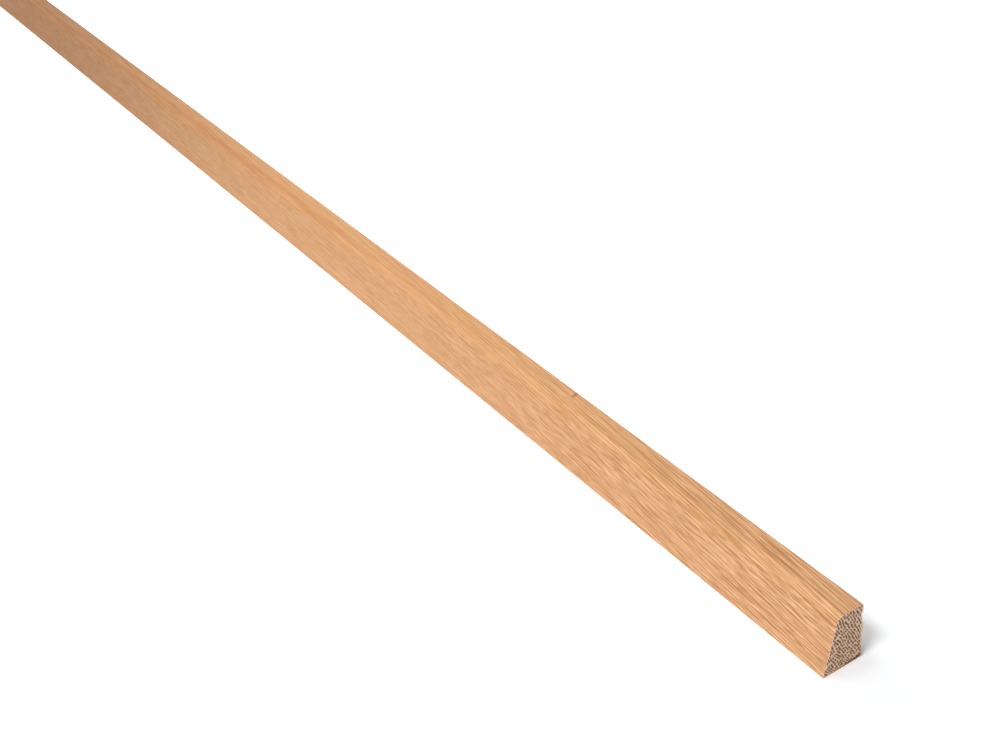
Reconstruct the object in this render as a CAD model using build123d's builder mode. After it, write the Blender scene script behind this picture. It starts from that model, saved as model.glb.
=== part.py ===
from build123d import *
from math import atan2, tan
import os

# Shoe moulding: one stick of red oak, planed to a small section that covers the gap
# between a floor and the foot of the skirting board behind it.
# Millimetres. +X runs along the stick, +Y from the toe back to the wall, and +Z up.
# The origin is on the floor, at the middle of the stick's length and depth.

# Overall sizes
length = 8 * FT
depth = 1 / 2 * IN
height = 11 / 16 * IN

# The face leans back this far over the whole height, measured to the sharp corner
# that it would make with the top
face_lean = 4.75

# Corners of the section: the shoulder is the moulded round, the heel is eased so that
# it clears the corner of floor and wall, and the other two are arrises left by the cutters
shoulder_radius = 2.8
heel_radius = 1.5
toe_radius = 0.25
back_arris_radius = 0.3

# The toe's sharp corner lies a little in front of the rounded toe, which sets the depth
toe_angle = atan2(height, face_lean)
toe_overhang = toe_radius / tan(toe_angle / 2) - toe_radius
toe_y = -depth / 2 - toe_overhang
back_y = depth / 2


with BuildPart() as shoe_moulding:
    # The section, with its toe in front at the left and the wall side at the right
    with BuildSketch(Plane.YZ.offset(-length / 2)) as section:
        with BuildLine():
            Polyline(
                (toe_y, 0),
                (back_y, 0),
                (back_y, height),
                (toe_y + face_lean, height),
                close=True,
            )
        make_face()

        # The two corners on the floor: toe in front, heel behind
        fillet(section.vertices().group_by(Axis.Y)[0].sort_by(Axis.X)[0], radius=toe_radius)
        fillet(section.vertices().group_by(Axis.Y)[0].sort_by(Axis.X)[-1], radius=heel_radius)

        # The two corners at the top: shoulder in front, arris behind
        fillet(section.vertices().group_by(Axis.Y)[-1].sort_by(Axis.X)[0], radius=shoulder_radius)
        fillet(section.vertices().group_by(Axis.Y)[-1].sort_by(Axis.X)[-1], radius=back_arris_radius)

    # The cutters leave the same section from one sawn end to the other
    extrude(amount=length)


shoe_moulding.part.label = "shoe_moulding"

os.makedirs("parts", exist_ok=True)
export_step(shoe_moulding.part, "parts/shoe_moulding.step")

box = shoe_moulding.part.bounding_box()
print("length, depth, height:", round(box.size.X, 3), round(box.size.Y, 3), round(box.size.Z, 3))
print("lowest corner:", round(box.min.X, 3), round(box.min.Y, 3), round(box.min.Z, 3))
print("volume in cubic millimetres:", round(shoe_moulding.part.volume, 1))
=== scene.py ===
import math

import bpy
from mathutils import Matrix, Vector


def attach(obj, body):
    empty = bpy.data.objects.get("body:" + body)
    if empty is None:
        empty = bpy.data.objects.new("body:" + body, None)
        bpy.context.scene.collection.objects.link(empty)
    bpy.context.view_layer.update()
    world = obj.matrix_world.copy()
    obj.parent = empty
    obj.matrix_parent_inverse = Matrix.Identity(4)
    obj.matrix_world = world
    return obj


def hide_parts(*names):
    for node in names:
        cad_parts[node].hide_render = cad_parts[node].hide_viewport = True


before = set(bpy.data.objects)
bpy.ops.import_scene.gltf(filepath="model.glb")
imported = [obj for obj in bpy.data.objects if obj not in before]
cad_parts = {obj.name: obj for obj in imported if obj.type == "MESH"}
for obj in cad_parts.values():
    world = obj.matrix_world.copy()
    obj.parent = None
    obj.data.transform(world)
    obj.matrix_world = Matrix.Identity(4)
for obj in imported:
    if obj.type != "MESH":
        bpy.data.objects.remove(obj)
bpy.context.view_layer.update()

# One stick of red oak moulding, planed on four sides to a small section with a leaning face
# and a rounded shoulder, and sawn square at both ends. The section is swept from one end to
# the other, and each end is closed with rings of facets that carry the torn grain of the cut.

inch = 0.0254
mm_per_metre = 1000.0
stick_length = 96 * inch
stick_depth = 1 / 2 * inch
stick_height = 11 / 16 * inch
face_lean = 0.00475
shoulder_radius = 0.0028
heel_radius = 0.0015
toe_radius = 0.00025
back_arris_radius = 0.0003

# How finely the skin is divided: facets round the section and at each of its corners,
# stations along the stick, which crowd towards the ends, and rings from the edge of a cut
# to its middle. Facets that meet at less than the soft angle are shaded as one surface.
facets_round = 216
facets_per_corner = 12
stations = 290
end_crowding = 0.025
cut_rings = 66
cut_middle_across = 0.0011
cut_middle_up = 0.0082
cut_arris = 0.0001
seam_gap = 1e-7
soft_angle = math.radians(50)

# The saw's marks on both cuts: pores stand open, and short fibres stand up as fuzz
pore_depth = 0.00012
fuzz_depth = 0.00004
fuzz_width_mm = 0.28

# At the right end the saw also tore the back edge, and left a curl of fibres under the top, a
# chip below the curl and a frayed bulge further down. A pair of numbers says where a mark
# begins and where it is full: the curl's, chip's and bulge's count from their middle heights.
tear_depth = 0.0003
tear_mean = 0.3
tear_reach = 0.0022
tear_raggedness = 1.6
tear_length_mm = 0.8
tear_height_mm = 0.7
above_heel = (0.002, 0.005)
curl_depth = 0.00028
curl_height = 0.0161
curl_band = (0.0013, 0.0006)
chip_depth = 0.00035
chip_height = 0.0139
chip_band = (0.0009, 0.0003)
fray_depth = 0.0005
fray_mean = 0.7
fray_height = 0.0098
fray_band = (0.0026, 0.0006)
fibre_reach = 0.0012
fibre_raggedness = 0.0006
back_band = 0.0004
rim_band = (0.0011, 0.0)


class Value:
    """A number that the tree works out at each place. Arithmetic on it adds Math nodes."""

    def __init__(self, nodes, socket):
        self.nodes = nodes
        self.socket = socket

    def math(self, operation, *others):
        inputs = dict(enumerate((self, *others)))
        return self.nodes.value("ShaderNodeMath", {"operation": operation}, inputs)

    def __add__(self, other):
        return self.math("ADD", other)

    __radd__ = __add__

    def __sub__(self, other):
        return self.math("SUBTRACT", other)

    def __rsub__(self, other):
        return self * -1 + other

    def __mul__(self, other):
        return self.math("MULTIPLY", other)

    __rmul__ = __mul__

    def __truediv__(self, other):
        return self.math("DIVIDE", other)

    def __rtruediv__(self, other):
        return self ** -1 * other

    def __pow__(self, other):
        return self.math("POWER", other)

    def least(self, other):
        return self.math("MINIMUM", other)

    def most(self, other):
        return self.math("MAXIMUM", other)

    def whole(self):
        return self.math("FLOOR")

    def part(self):
        return self.math("FRACT")

    def size(self):
        return self.math("ABSOLUTE")

    def sign(self):
        return self.math("SIGN")

    def root(self):
        return self.math("SQRT")

    def is_index(self, number):
        """1 where this index is the number, and 0 elsewhere."""
        return self.math("COMPARE", number, 0.5)

    def rise(self, start, full):
        """0 at the start and before it, 1 where it is full and beyond, smooth between."""
        return self.nodes.value(
            "ShaderNodeMapRange",
            {"interpolation_type": "SMOOTHSTEP"},
            {"Value": self, "From Min": start, "From Max": full},
        )


class Nodes:
    """Adds nodes of every kind to one tree."""

    def __init__(self, tree):
        self.tree = tree

    def add(self, kind, settings=None, inputs=None):
        node = self.tree.nodes.new(kind)
        for name, setting in (settings or {}).items():
            setattr(node, name, setting)
        for name, source in (inputs or {}).items():
            if isinstance(source, Value):
                source = source.socket
            if isinstance(source, bpy.types.NodeSocket):
                self.tree.links.new(source, node.inputs[name])
            else:
                node.inputs[name].default_value = source
        return node

    def socket(self, kind, settings=None, inputs=None, output=0):
        return self.add(kind, settings, inputs).outputs[output]

    def value(self, kind, settings=None, inputs=None, output=0):
        return Value(self, self.socket(kind, settings, inputs, output))

    def place(self, x, y, z):
        return self.socket("ShaderNodeCombineXYZ", None, {"X": x, "Y": y, "Z": z})

    def parts(self, vector):
        xyz_parts_and_bottom_shadow = self.add("ShaderNodeSeparateXYZ", None, {"Vector": vector})
        return [Value(self, xyz_parts_and_bottom_shadow.outputs[axis]) for axis in "XYZ"]

    def noise(self, x, y, z, detail=0.0, seed=0.0):
        """Smooth noise round 0, mostly within half a unit of it."""
        place = self.place(x, y, z)
        settings = {"noise_dimensions": "4D"}
        inputs = {"Vector": place, "W": seed, "Scale": 1.0, "Detail": detail}
        return self.value("ShaderNodeTexNoise", settings, inputs) - 0.5

    def mix(self, share, first, second):
        """The first colour where the share is 0, and the second where it is 1."""
        inputs = {0: share, 6: first, 7: second}
        return self.socket("ShaderNodeMix", {"data_type": "RGBA"}, inputs, output=2)


# The tree grew slowly, so its rings are narrow. The stick was cut well away from the pith,
# which lies below it on the wall side, and its fibres wind round the trunk, so that they
# slant across the faces while the rings run straight. Millimetres, from the stick's middle.
pith_across = 38.6
pith_up = -62.0
pith_distance = 82.0
fibre_slant = 0.055
slant_swing = 1.2
slant_wave = 620.0
ring_width = 1.25
ring_sway = 1.1
ray_spacing = 0.74
ray_sway = 1.3
line_spacing = 0.8
line_sway = 1.6
hair_spacing = 0.48
hair_sway_share = 0.6

# Where each mark begins and where it is full, as a share of its spacing, and how much chance
# has a hand in it
pore_band = (0.58, 0.46)
pore_scatter = 0.55
pore_off_ray = 0.5
pore_unevenness = 0.6
ray_band = (0.36, 0.45)
ray_unevenness = 0.2
dark_line_band = (0.36, 0.47)
pale_line_band = (0.15, 0.03)
line_chance = (-0.12, 0.15)
hair_band = (0.28, 0.45)
hair_chance = (-0.1, 0.1)


def red_oak(nodes, x, y, z):
    """The grain at a place in millimetres: its rings, pores, rays, lines and streaks."""
    across = y - pith_across
    up = z - pith_up
    radius = (across * across + up * up).root()
    turn = up.math("ARCTAN2", across)
    swing = (x * (2 * math.pi / slant_wave)).math("SINE") * slant_swing
    wound = turn * pith_distance - x * fibre_slant - swing

    def patches(long, deep, wide, detail=0.0, seed=0.0):
        """Noise in patches of this size: along the fibres, out from the pith and round it."""
        return nodes.noise(x / long, radius / deep, wound / wide, detail, seed)

    # Rays part the wood into files, and each ring opens with a row of large pores
    sway_out = patches(long=26, deep=5, wide=4, seed=1) * ring_sway
    sway_round = patches(long=20, deep=4, wide=3, seed=2) * ray_sway
    ring = (radius + sway_out) / ring_width
    file = (wound + sway_round) / ray_spacing
    row = nodes.value(
        "ShaderNodeTexVoronoi",
        {"voronoi_dimensions": "2D"},
        {"Vector": nodes.place(ring, file, 0.0), "Scale": 1.0, "Randomness": pore_scatter},
    )
    beside_ray = (file.part() - 0.5).size()
    uneven = patches(long=8, deep=0.7, wide=0.45, detail=1.5, seed=4)
    pore = (row + beside_ray * pore_off_ray + uneven * pore_unevenness).rise(*pore_band)
    ray = (beside_ray + uneven * ray_unevenness).rise(*ray_band)

    # Fine lines along the fibres, dark and pale by turns, and finer dark hairs between them,
    # each of which comes and goes
    wander = patches(long=70, deep=3, wide=1.6, detail=1.0, seed=11) * line_sway
    beside_line = (((wound + wander) / line_spacing).part() - 0.5).size()
    dark_share = patches(long=40, deep=0.8, wide=0.55, seed=9).rise(*line_chance)
    pale_share = patches(long=40, deep=0.8, wide=0.55, seed=10).rise(*line_chance)
    beside_hair = (((wound + wander * hair_sway_share) / hair_spacing).part() - 0.5).size()
    hair_share = patches(long=25, deep=0.8, wide=0.4, seed=15).rise(*hair_chance)
    return {
        "radius": radius,
        "pore": pore,
        "ray": ray,
        "dark_line": beside_line.rise(*dark_line_band) * dark_share,
        "pale_line": beside_line.rise(*pale_line_band) * pale_share,
        "hair": beside_hair.rise(*hair_band) * hair_share,
        "fleck": patches(long=4, deep=0.4, wide=0.15, seed=6),
        "thread": patches(long=16, deep=0.5, wide=0.15, seed=12),
        "broad": patches(long=60, deep=2.4, wide=1.2, detail=1.0, seed=13),
        "tint": patches(long=120, deep=5, wide=6, detail=1.0, seed=8),
    }


tree = bpy.data.node_groups.new("swept oak stick", "GeometryNodeTree")
tree.interface.new_socket("Geometry", in_out="OUTPUT", socket_type="NodeSocketGeometry")
stick_inputs = {
    "Length": stick_length,
    "Depth": stick_depth,
    "Height": stick_height,
    "Face Lean": face_lean,
    "Shoulder Radius": shoulder_radius,
    "Heel Radius": heel_radius,
    "Toe Radius": toe_radius,
    "Back Arris Radius": back_arris_radius,
}
sockets = {
    name: tree.interface.new_socket(name, in_out="INPUT", socket_type="NodeSocketFloat")
    for name in stick_inputs
}
sockets["Oak"] = tree.interface.new_socket(
    "Oak", in_out="INPUT", socket_type="NodeSocketMaterial"
)
nodes = Nodes(tree)
given = nodes.add("NodeGroupInput")
length, depth, height, lean, shoulder, heel, toe, back_arris = (
    Value(nodes, given.outputs[name]) for name in stick_inputs
)

# The section, as four corners and their rounds, from the toe by way of the heel
toe_angle = height.math("ARCTAN2", lean)
toe_overhang = toe / (toe_angle / 2).math("TANGENT") - toe
toe_y = depth * -0.5 - toe_overhang
corners = [
    nodes.place(0.0, toe_y, 0.0),
    nodes.place(0.0, depth * 0.5, 0.0),
    nodes.place(0.0, depth * 0.5, height),
    nodes.place(0.0, toe_y + lean, height),
]
outline = nodes.socket(
    "GeometryNodeCurvePrimitiveQuadrilateral",
    {"mode": "POINTS"},
    {f"Point {number + 1}": corner for number, corner in enumerate(corners)},
)
corner_index = nodes.value("GeometryNodeInputIndex")
corner_radius = (
    corner_index.is_index(0) * toe
    + corner_index.is_index(1) * heel
    + corner_index.is_index(2) * back_arris
    + corner_index.is_index(3) * shoulder
)
section = nodes.socket(
    "GeometryNodeFilletCurve",
    {"mode": "POLY"},
    {"Curve": outline, "Count": facets_per_corner, "Radius": corner_radius},
)

# A sheet of facets, wrapped round the section: its first and last rows are the cuts' middles
rows = stations + 2 * cut_rings
grid = nodes.socket(
    "GeometryNodeMeshGrid", None, {"Vertices X": rows + 1, "Vertices Y": facets_round + 1}
)
sheet = nodes.socket("GeometryNodeFlipFaces", None, {"Mesh": grid})
index = nodes.value("GeometryNodeInputIndex")
row = ((index + 0.5) / (facets_round + 1)).whole()
column = index - row * (facets_round + 1)
round_share = column / facets_round
sample = nodes.add(
    "GeometryNodeSampleCurve",
    {"mode": "FACTOR"},
    {"Curves": section, "Factor": round_share},
)
_, section_y, section_z = nodes.parts(sample.outputs["Position"])

# Along the stick: stations crowd towards the ends, so that a torn edge is finely divided
station = (row - cut_rings).most(0.0).least(float(stations))
part_way = station / (stations / 2) - 1
eased = (part_way * math.pi).math("SINE") * ((1 - end_crowding) / math.pi) + part_way
rim_x = eased * (length * 0.5 - cut_arris)

# The torn back edge at the right end: the tear and the chip go in from the back, and the
# curl and the frayed bulge stand out of it
ragged = nodes.noise(
    rim_x * mm_per_metre / tear_length_mm,
    section_y * mm_per_metre,
    section_z * mm_per_metre / tear_height_mm,
    seed=21,
)
from_cut = length * 0.5 - rim_x
at_cut = (from_cut + ragged * tear_reach * tear_raggedness).rise(tear_reach, 0.0)
close_to_cut = (from_cut + ragged * fibre_raggedness).rise(fibre_reach, 0.0)
back_y = depth * 0.5
on_back = section_y.rise(back_y - back_band, back_y)
below_curl = section_z.rise(chip_height + chip_band[0], chip_height)
in_tear = below_curl * section_z.rise(*above_heel)
in_chip = (section_z - chip_height).size().rise(*chip_band)
in_curl = (section_z - curl_height).size().rise(*curl_band)
in_fray = (section_z - fray_height).size().rise(*fray_band)
moved_in = (
    in_tear * (ragged + tear_mean) * tear_depth * at_cut
    + in_chip * chip_depth * at_cut
    - in_curl * curl_depth * close_to_cut
    - in_fray * (ragged + fray_mean) * fray_depth * close_to_cut
)
torn_in = moved_in * on_back

# Across a cut: over the arris that the saw leaves, and inwards to the middle
ring_in = ((cut_rings - row).most(row - (cut_rings + stations))).most(0.0)
to_middle_y = cut_middle_across - section_y
to_middle_z = cut_middle_up - section_z
to_middle = (to_middle_y * to_middle_y + to_middle_z * to_middle_z).root()
over_arris = cut_arris / to_middle
on_cut = ring_in.least(1.0)
inward = (ring_in - 1).most(0.0) / (cut_rings - 1) * (1 - over_arris) + over_arris * on_cut
rim_gap = to_middle * inward
tearing = torn_in * rim_gap.rise(*rim_band)
across = section_y + to_middle_y * inward - tearing
up = section_z + to_middle_z * inward
face_x = rim_x.sign() * on_cut * cut_arris
cut_grain = red_oak(
    nodes, (rim_x + face_x) * mm_per_metre, across * mm_per_metre, up * mm_per_metre
)
fuzz = nodes.noise(
    rim_x * mm_per_metre,
    across * mm_per_metre / fuzz_width_mm,
    up * mm_per_metre / fuzz_width_mm,
    seed=22,
)
sunk = (cut_grain["pore"] * pore_depth + (fuzz + 0.5) * fuzz_depth) * on_cut
along = rim_x + face_x - rim_x.sign() * sunk
placed = nodes.socket(
    "GeometryNodeSetPosition",
    None,
    {"Geometry": sheet, "Position": nodes.place(along, across, up)},
)


def mark(geometry, name, value, kind="FLOAT", domain="POINT"):
    """Keeps a value on the mesh under a name, for the material or the map."""
    settings = {"data_type": kind, "domain": domain}
    inputs = {"Geometry": geometry, "Name": name, "Value": value}
    return nodes.socket("GeometryNodeStoreNamedAttribute", settings, inputs)


def seen_from(value, domain):
    """The value as a point or a whole face has it."""
    settings = {"data_type": "FLOAT", "domain": domain}
    return nodes.value("GeometryNodeFieldOnDomain", settings, {"Value": value})


marked = mark(placed, "cut", on_cut)
marked = mark(marked, "rim_gap", rim_gap * mm_per_metre)
marked = mark(marked, "torn", tearing.size() * mm_per_metre)

# The map for a painted finish: the skin unrolled in strips, one above another, and the two
# cuts side by side above the last
strips = 3
inside_last_strip = strips - 0.001
strips_height = 0.82
strip_room = 0.97
cut_map_scale = 12.6
cut_map_aside = 0.25
cut_map_from = 0.83
place_x, place_y, place_z = nodes.parts(nodes.socket("GeometryNodeInputPosition"))
face_share = (seen_from(place_x, "FACE") / length + 0.5) * strips
strip = face_share.least(inside_last_strip).most(0.0).whole()
strip_u = ((place_x / length + 0.5) * strips - strip - 0.5) * strip_room + 0.5
round_v = (0.5 - seen_from(round_share, "POINT")) * strip_room + 0.5
strip_v = (strip + round_v) * (strips_height / strips)
cut_u = (place_z - height * 0.5) * cut_map_scale + 0.5 + place_x.sign() * cut_map_aside
cut_v = (depth * 0.5 - place_y * place_x.sign()) * cut_map_scale + cut_map_from
face_row = seen_from(seen_from(row, "POINT"), "FACE")
cut_face = (face_row - (cut_rings + stations / 2)).size().math("GREATER_THAN", stations / 2)
map_u = strip_u + (cut_u - strip_u) * cut_face
map_v = strip_v + (cut_v - strip_v) * cut_face
marked = mark(marked, "OFBake", nodes.place(map_u, map_v, 0.0), "FLOAT2", "CORNER")

joined = nodes.socket(
    "GeometryNodeMergeByDistance", None, {"Geometry": marked, "Distance": seam_gap}
)
real = nodes.socket("GeometryNodeRealizeInstances", None, {"Geometry": joined})
finished = nodes.socket(
    "GeometryNodeSetMaterial", None, {"Geometry": real, "Material": given.outputs["Oak"]}
)
nodes.add("NodeGroupOutput", None, {"Geometry": finished})


def tone(red, green, blue):
    """A colour as a screen shows it, from 0 to 255, in the renderer's linear numbers."""
    return [((part / 255 + 0.055) / 1.055) ** 2.4 for part in (red, green, blue)] + [1.0]


straw = tone(217, 162, 112)
outer_straw = tone(214, 157, 100)
pink_straw = tone(228, 175, 132)
broad_dark = tone(196, 140, 94)
broad_pale = tone(246, 191, 145)
far_red_and_shade = tone(197, 135, 90)
shoulder_sheenless_orange = tone(196, 125, 69)
streak_dark = tone(176, 113, 62)
streak_pale = tone(255, 202, 157)
line_dark = tone(168, 104, 54)
line_pale = tone(255, 208, 164)
planed_pore = tone(184, 130, 85)
knot_brown = tone(150, 90, 45)
cut_taupe = tone(217, 178, 149)
cut_pore = tone(128, 93, 67)
cut_ray = tone(238, 206, 180)
cut_rim = tone(236, 208, 192)
painted_shadow_black = tone(78, 52, 34)
painted_highlight_orange = tone(232, 170, 106)
torn_cream = tone(226, 198, 164)

# Where the looks of the wood change, in millimetres from the stick's middle and its foot: a
# pair says where a change begins and where it is complete
outer_rings = (85.6, 87.4)
far_shaded_part = (900, 650)
# Where the painted band of lost sheen lies on the shoulder
shoulder_across = -0.3
shoulder_beside = (2.2, 0.4)
shoulder_up = (14, 16)
shoulder_along = (1100, 880)
top_up = (15, 17)
both_ends = (980, 1205)
near_end_lines = (1110, 1190)
near_end_hairs = (1060, 1200)
knot_along = 1098.2
knot_across = 4.85
knot_half_length = 0.75
knot_half_width = 1.3
knot_lean = 0.29
knot_fade = (1.4, 0.3)
knot_up = (13, 15)
right_half = (0, 1)
rim_width = (0.4, 0.2)
# Painted shadow along the bottom of the right end: where it starts, how it widens and how ragged
# it is
bottom_shadow_start = -4.5
bottom_shadow_slope = 0.11
bottom_shadow_raggedness = 0.3
bottom_shadow_edge = (0.2, -0.1)
bottom_shadow_across = (-4.5, -2.5)
# Where the painted highlight under that shadow lies
bottom_highlight_up = (0.3, 0.15)
bottom_highlight_across = (-5.5, -4.0)
torn_band = (0.03, 0.15)

# Which part of each chance pattern shows, and how clearly: all along the stick, and more at
# both ends and on the top
tint_band = (-0.2, 0.2)
broad_dark_band = (0.0, -0.25)
broad_pale_band = (0.0, 0.25)
fleck_dark_band = (0.03, 0.14)
fleck_pale_band = (-0.03, -0.14)
thread_dark_band = (0.02, 0.12)
thread_pale_band = (-0.02, -0.12)
clear_everywhere = 0.4
clear_at_ends = 0.6
clear_on_top = 0.1
fleck_strength = 0.55
fleck_loss_on_top = 0.25

# Bare wood is hardly glossy, least of all in its pores, and its lines are shallow hollows
wood_gloss = 0.25
wood_roughness = 0.55
pore_roughness = 0.2
line_relief = 0.00004
relief_strength = 0.6

oak = bpy.data.materials.new("red_oak")
oak.use_nodes = True
oak.node_tree.nodes.clear()
wood = Nodes(oak.node_tree)
millimetres = wood.socket(
    "ShaderNodeVectorMath",
    {"operation": "SCALE"},
    {"Vector": wood.socket("ShaderNodeTexCoord", output="Object"), "Scale": mm_per_metre},
)
x, y, z = wood.parts(millimetres)
grain = red_oak(wood, x, y, z)


def painted(name):
    """A value that the mesh keeps under this name."""
    return wood.value("ShaderNodeAttribute", {"attribute_name": name}, output="Fac")


def paint(under, colour, where, strength):
    """The colour laid over what is under it, where the mask says and at this strength."""
    return wood.mix(where * strength, under, colour)


# Planed faces: pale straw to orange tan. Along the far part they turn darker and redder, partly
# the wood's own tone and partly painted shade where the lamps' light falls off, and the shoulder
# has a deeper orange band of painted reflection
cut = painted("cut")
on_top = z.rise(*top_up)
side = paint(straw, outer_straw, grain["radius"].rise(*outer_rings), strength=0.8)
side = paint(side, pink_straw, grain["tint"].rise(*tint_band), strength=0.2)
side = paint(side, broad_dark, grain["broad"].rise(*broad_dark_band), strength=0.1)
side = paint(side, broad_pale, grain["broad"].rise(*broad_pale_band), strength=0.1)
# Half-way towards a darker red along the far part: the wood's own redder tone and painted shade
# together
side = wood.mix(x.rise(*far_shaded_part), side, wood.mix(0.5, side, far_red_and_shade))
# Painted reflection: the shoulder is tinted a deeper orange where it mirrors less of the white
# studio than the faces beside it
beside_ridge = (y - shoulder_across).size()
sheenless_band = beside_ridge.rise(*shoulder_beside) * z.rise(*shoulder_up) * x.rise(*shoulder_along)
side = paint(side, shoulder_sheenless_orange, sheenless_band, strength=0.75)

# Along the fibres run flecks, threads, lines and hairs, clearest near the ends
top_near_end = x.rise(*near_end_lines) * on_top
clear = x.size().rise(*both_ends) * clear_at_ends + top_near_end * clear_on_top + clear_everywhere
flecked = clear * (fleck_strength - on_top * fleck_loss_on_top)
side = paint(side, streak_dark, grain["fleck"].rise(*fleck_dark_band), strength=flecked)
side = paint(side, streak_pale, grain["fleck"].rise(*fleck_pale_band), strength=flecked)
side = paint(side, streak_dark, grain["thread"].rise(*thread_dark_band) * clear, strength=0.45)
side = paint(side, streak_pale, grain["thread"].rise(*thread_pale_band) * clear, strength=0.45)
side = paint(side, line_pale, grain["pale_line"] * clear, strength=0.6)
side = paint(side, streak_dark, grain["hair"] * on_top * x.rise(*near_end_hairs), strength=0.45)
side = paint(side, line_dark, grain["dark_line"] * clear, strength=0.7)
side = paint(side, planed_pore, grain["pore"], strength=0.12)

# A pin knot on the top, beside the back arris
knot_x = (x - knot_along + (y - knot_across) * knot_lean) / knot_half_length
knot_y = (y - knot_across) / knot_half_width
knot = (knot_x ** 2 + knot_y ** 2).root().rise(*knot_fade) * z.rise(*knot_up)
side = paint(side, knot_brown, knot, strength=0.7)

# Sawn ends: dark open pores in taupe wood, between pale rays, and a bright torn edge
end = wood.mix(grain["pore"], cut_taupe, cut_pore)
end = paint(end, cut_ray, grain["ray"], strength=0.7)
end = paint(end, cut_rim, painted("rim_gap").rise(*rim_width), strength=0.85)

# Along the bottom of the right end a dark band widens towards the heel. It is painted shadow,
# where the stick meets the floor, and a thin painted highlight lies under it
on_right = x.rise(*right_half)
bottom_shadow_top = (y - bottom_shadow_start).most(0.0) * bottom_shadow_slope + grain["fleck"] * bottom_shadow_raggedness
# Painted shadow: the dark band under the right end's bottom edge, widening towards the heel
xyz_parts_and_bottom_shadow = (z - bottom_shadow_top).rise(*bottom_shadow_edge) * y.rise(*bottom_shadow_across) * on_right
end = paint(end, painted_shadow_black, xyz_parts_and_bottom_shadow, strength=0.9)
# Painted highlight: a thin bright orange line at the very bottom of the right end
bottom_highlight = z.rise(*bottom_highlight_up) * y.rise(*bottom_highlight_across) * on_right
end = paint(end, painted_highlight_orange, bottom_highlight, strength=0.9)

# The torn edge is pale. The dark lines lie hollow in the planed faces, and the pores in the cuts
torn = painted("torn").rise(*torn_band)
colour = paint(wood.mix(cut, side, end), torn_cream, torn, strength=0.8)
relief = grain["dark_line"] * (cut - 1) - grain["pore"] * cut
bump = wood.socket(
    "ShaderNodeBump",
    None,
    {"Height": relief, "Strength": relief_strength, "Distance": line_relief},
)
shader = wood.socket(
    "ShaderNodeBsdfPrincipled",
    None,
    {
        "Base Color": colour,
        "Roughness": grain["pore"] * pore_roughness + wood_roughness,
        "Specular IOR Level": wood_gloss,
        "Normal": bump,
    },
)
wood.add("ShaderNodeOutputMaterial", None, {"Surface": shader})

# The tree runs on a blank mesh, and what it makes is kept as a plain one
blank = bpy.data.meshes.new("oak_moulding_blank")
maker = bpy.data.objects.new("oak_moulding_blank", blank)
bpy.context.scene.collection.objects.link(maker)
modifier = maker.modifiers.new("swept stick", "NODES")
modifier.node_group = tree
for name, size in stick_inputs.items():
    modifier[sockets[name].identifier] = size
modifier[sockets["Oak"].identifier] = oak
evaluated = maker.evaluated_get(bpy.context.evaluated_depsgraph_get())
mesh = bpy.data.meshes.new_from_object(evaluated)
bpy.data.objects.remove(maker)
mesh.name = "oak_moulding"
mesh.materials.clear()
mesh.materials.append(oak)
mesh.polygons.foreach_set("material_index", [0] * len(mesh.polygons))
mesh.shade_smooth()
mesh.set_sharp_from_angle(angle=soft_angle)
stick = bpy.data.objects.new("oak_moulding", mesh)
bpy.context.scene.collection.objects.link(stick)

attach(stick, "root")
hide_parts("shoe_moulding")

# A white floor of matt paper, which lies a hair below the stick, and white air all round it.
# To the camera both are pure white, and only near the stick's end does the floor keep its
# shadow, while on the stick itself the air casts a weak, cool light.

floor_size = 12.0
floor_drop = 0.00005
paper_white = 0.9
paper_white_seen = 1.04
shadow_kept = (0.008, 0.12)
half = floor_size / 2
floor_mesh = bpy.data.meshes.new("studio_floor")
floor_mesh.from_pydata(
    [
        (-half, -half, -floor_drop),
        (half, -half, -floor_drop),
        (half, half, -floor_drop),
        (-half, half, -floor_drop),
    ],
    [],
    [(0, 1, 2, 3)],
)
floor = bpy.data.objects.new("studio_floor", floor_mesh)
bpy.context.scene.collection.objects.link(floor)

paper = bpy.data.materials.new("white_paper")
paper.use_nodes = True
paper.node_tree.nodes.clear()
white = Nodes(paper.node_tree)
seen = white.value("ShaderNodeLightPath", output="Is Camera Ray")
spot_x, spot_y, _ = white.parts(white.socket("ShaderNodeTexCoord", output="Object"))
from_end = ((spot_x - stick_length / 2) ** 2 + spot_y ** 2).root()
brightness = seen * (paper_white_seen - paper_white) + paper_white
matt = white.socket("ShaderNodeBsdfDiffuse", None, {"Color": brightness})
glow = white.socket(
    "ShaderNodeEmission",
    None,
    {"Color": (1.0, 1.0, 1.0, 1.0), "Strength": from_end.rise(*shadow_kept) * seen},
)
surface = white.socket("ShaderNodeAddShader", None, {0: matt, 1: glow})
white.add("ShaderNodeOutputMaterial", None, {"Surface": surface})
floor_mesh.materials.append(paper)

air_light = 0.3
air_hue = (0.88, 0.98, 1.06, 1.0)
air_hue_seen = (1.0, 1.0, 1.0, 1.0)
world = bpy.data.worlds.new("studio_air")
bpy.context.scene.world = world
world.use_nodes = True
world.node_tree.nodes.clear()
air = Nodes(world.node_tree)
seen = air.value("ShaderNodeLightPath", output="Is Camera Ray")
strength = seen * (1 - air_light) + air_light
hue = air.mix(seen, air_hue, air_hue_seen)
sky = air.socket("ShaderNodeBackground", None, {"Color": hue, "Strength": strength})
air.add("ShaderNodeOutputWorld", None, {"Surface": sky})

# Four soft lamps: the key stands above and in front of the end that the picture shows, the
# fill faces its cut, and the other two hang over the rest of the stick, the middle one over
# the part just behind the end and the strip over all the far part.


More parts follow.
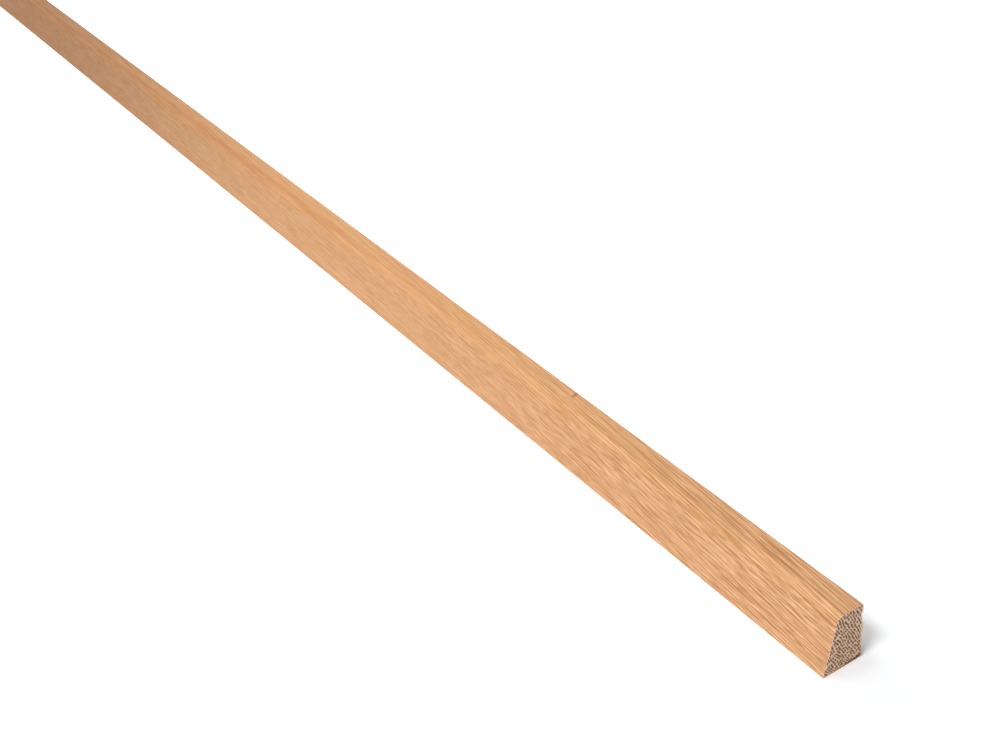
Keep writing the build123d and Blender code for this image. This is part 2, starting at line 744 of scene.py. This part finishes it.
def soft_lamp(name, place, target, wide, tall, power, spread=180):
    lamp = bpy.data.lights.new(name, "AREA")
    lamp.spread = math.radians(spread)
    lamp.shape = "RECTANGLE"
    lamp.size = wide
    lamp.size_y = tall
    lamp.energy = power
    holder = bpy.data.objects.new(name, lamp)
    bpy.context.scene.collection.objects.link(holder)
    holder.location = place
    holder.rotation_mode = "QUATERNION"
    holder.rotation_quaternion = (Vector(target) - Vector(place)).to_track_quat("-Z", "Y")


near_end = stick_length / 2
behind_end = near_end - 0.3
far_middle = -0.45
soft_lamp(
    "key",
    place=(near_end + 0.08, -0.345, 0.605),
    target=(near_end, 0, 0),
    wide=0.22,
    tall=0.16,
    power=2.6,
)
soft_lamp(
    "middle",
    place=(behind_end, -0.1, 0.7),
    target=(behind_end, 0, 0),
    wide=0.35,
    tall=0.2,
    power=0.25,
    spread=60,
)
soft_lamp(
    "end_fill",
    place=(near_end + 0.5, -0.3, 0.3),
    target=(near_end, 0, 0),
    wide=0.3,
    tall=0.3,
    power=1.0,
)
soft_lamp(
    "far_strip",
    place=(far_middle, -0.12, 0.7),
    target=(far_middle, 0, 0),
    wide=1.6,
    tall=0.2,
    power=6.7,
)

# The camera stands beyond the sawn end and a little to the toe's side, looks down along the
# stick, and leans by a few degrees.

beyond_end = 0.1897
before_toe = 0.18043
above_floor = 0.26329
heading = math.radians(61.767)
tilt_down = math.radians(32.827)
roll = math.radians(-7.384)
focal_length_mm = 51.936
film_width_mm = 36.0
nearest_seen = 0.01
camera = bpy.data.objects.new("camera", bpy.data.cameras.new("camera"))
bpy.context.scene.collection.objects.link(camera)
camera.data.sensor_width = film_width_mm
camera.data.lens = focal_length_mm
camera.data.clip_start = nearest_seen
camera_place = Vector((near_end + beyond_end, -before_toe - stick_depth / 2, above_floor))
turned = (
    Matrix.Rotation(heading, 4, "Z")
    @ Matrix.Rotation(math.pi / 2 - tilt_down, 4, "X")
    @ Matrix.Rotation(roll, 4, "Z")
)
camera.matrix_world = Matrix.Translation(camera_place) @ turned
bpy.context.scene.camera = camera

bpy.context.scene.view_settings.view_transform = "Standard"
